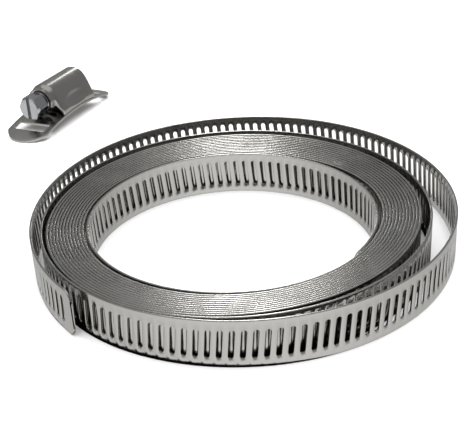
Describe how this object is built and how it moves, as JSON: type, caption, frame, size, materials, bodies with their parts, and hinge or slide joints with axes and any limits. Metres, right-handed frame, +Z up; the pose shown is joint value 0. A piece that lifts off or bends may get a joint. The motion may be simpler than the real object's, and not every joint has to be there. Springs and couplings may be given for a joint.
{
  "type": "hose clamp",
  "caption": "Worm-drive banding hose clamp: a coil of slotted stainless steel band and a separate clasp whose worm screw draws the band tight.",
  "frame": {"origin": "on the floor at the centre of the coil's innermost turn", "axes": "+Z up along the coil's axis; +X to the right and -Y towards the viewer, with the band's free end at the left front"},
  "size_m": [0.1434, 0.1893, 0.0158],
  "materials": {
    "band_steel": "cold-rolled 304 stainless strip with pressed slots",
    "plate_steel": "pressed stainless sheet, tumbled edges",
    "housing_steel": "pressed stainless sheet, tumbled",
    "screw_steel": "bright zinc-plated steel screw"
  },
  "bodies": {
    "coil": {"band": "band_steel"},
    "clasp": {"base_plate": "plate_steel", "housing": "housing_steel"},
    "screw": {"screw": "screw_steel"}
  },
  "joints": [
    {"name": "clasp_lift", "type": "slide", "parent": "coil", "child": "clasp", "axis": [0, 0, 1], "range_m": [0, 0.05]},
    {"name": "screw_turn", "type": "hinge", "parent": "clasp", "child": "screw", "pos_m": [-0.064, 0.112, 0.00981], "axis": [-0.4226, -0.9063, 0], "continuous": true}
  ]
}
